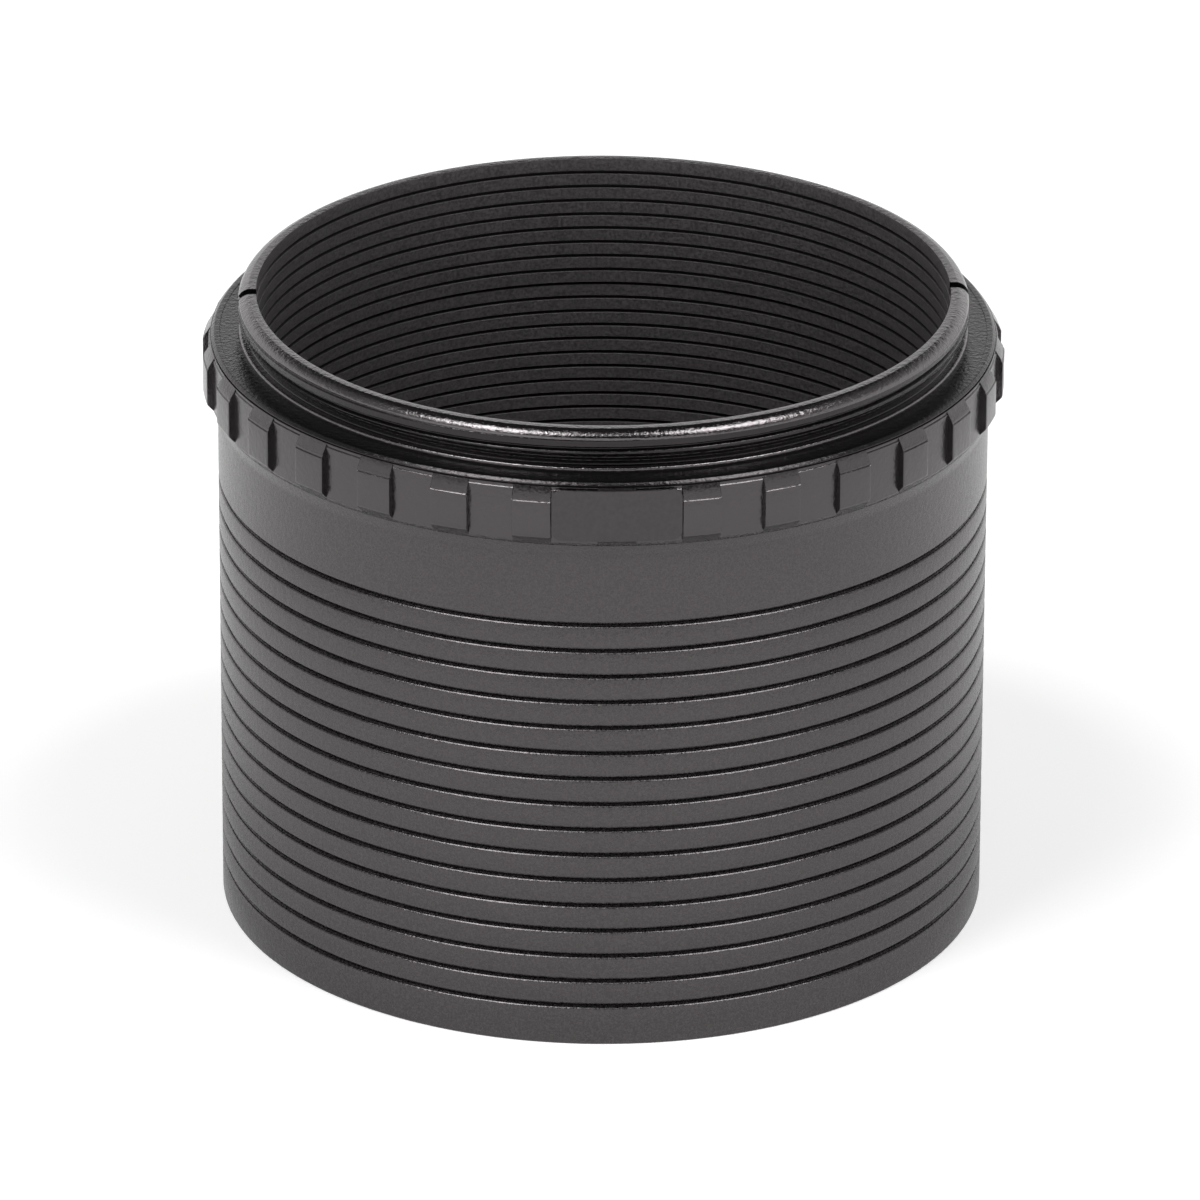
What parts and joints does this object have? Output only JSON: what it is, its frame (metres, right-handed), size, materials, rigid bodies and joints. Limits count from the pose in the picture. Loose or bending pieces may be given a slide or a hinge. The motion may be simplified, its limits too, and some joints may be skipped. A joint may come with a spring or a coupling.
{
  "type": "telescope extension tube",
  "caption": "Short round extension tube with a grooved push-fit barrel, a threaded collar on top, a female thread at the foot, and a notched grip ring.",
  "frame": {"origin": "centre of the foot face, on the optical axis, where the tube stands", "axes": "+Z runs along the optical axis from the foot to the male thread, and the label faces -Y"},
  "size_m": [0.0528, 0.0529, 0.0428],
  "materials": {
    "anodised_aluminium": "black satin anodised",
    "label_film": "matt black"
  },
  "bodies": {
    "root": {"barrel": "anodised_aluminium", "threaded_collar": "anodised_aluminium", "grip_ring": "anodised_aluminium", "label": "label_film"}
  },
  "joints": []
}
